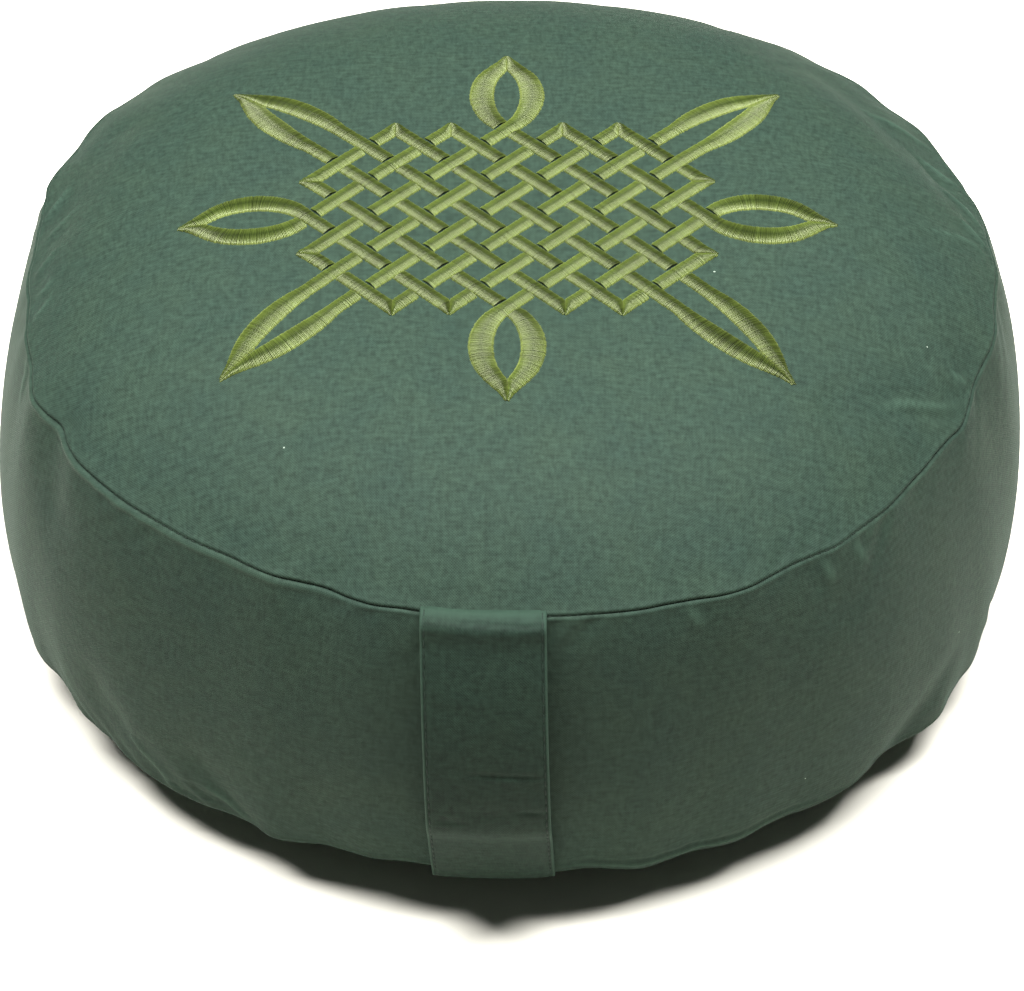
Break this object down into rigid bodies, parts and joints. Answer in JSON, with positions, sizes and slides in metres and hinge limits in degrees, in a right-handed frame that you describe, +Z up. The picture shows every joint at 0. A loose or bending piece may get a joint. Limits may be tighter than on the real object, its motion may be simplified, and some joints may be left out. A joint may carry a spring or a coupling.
{
  "type": "zafu meditation cushion",
  "caption": "Round, firmly filled floor cushion with a crowned top, a seamed side band and a flat carry strap sewn across the band.",
  "frame": {"origin": "on the floor, on the cushion's own axis, in the middle of its flat bottom", "axes": "+Z up out of the cushion's top, the strap is at the front towards -Y, +X to the right of someone who looks at the strap"},
  "size_m": [0.3416, 0.3538, 0.158],
  "materials": {
    "cover_cotton": "matt plain-woven cotton, dark green",
    "strap_cotton": "matt plain-woven cotton, folded double and topstitched, dark green",
    "embroidery_thread": "glossy twisted rayon thread, olive and lime green",
    "sewing_thread": "matt spun sewing thread, dark green"
  },
  "bodies": {
    "root": {"cushion": "cover_cotton", "strap": "strap_cotton"}
  },
  "joints": []
}
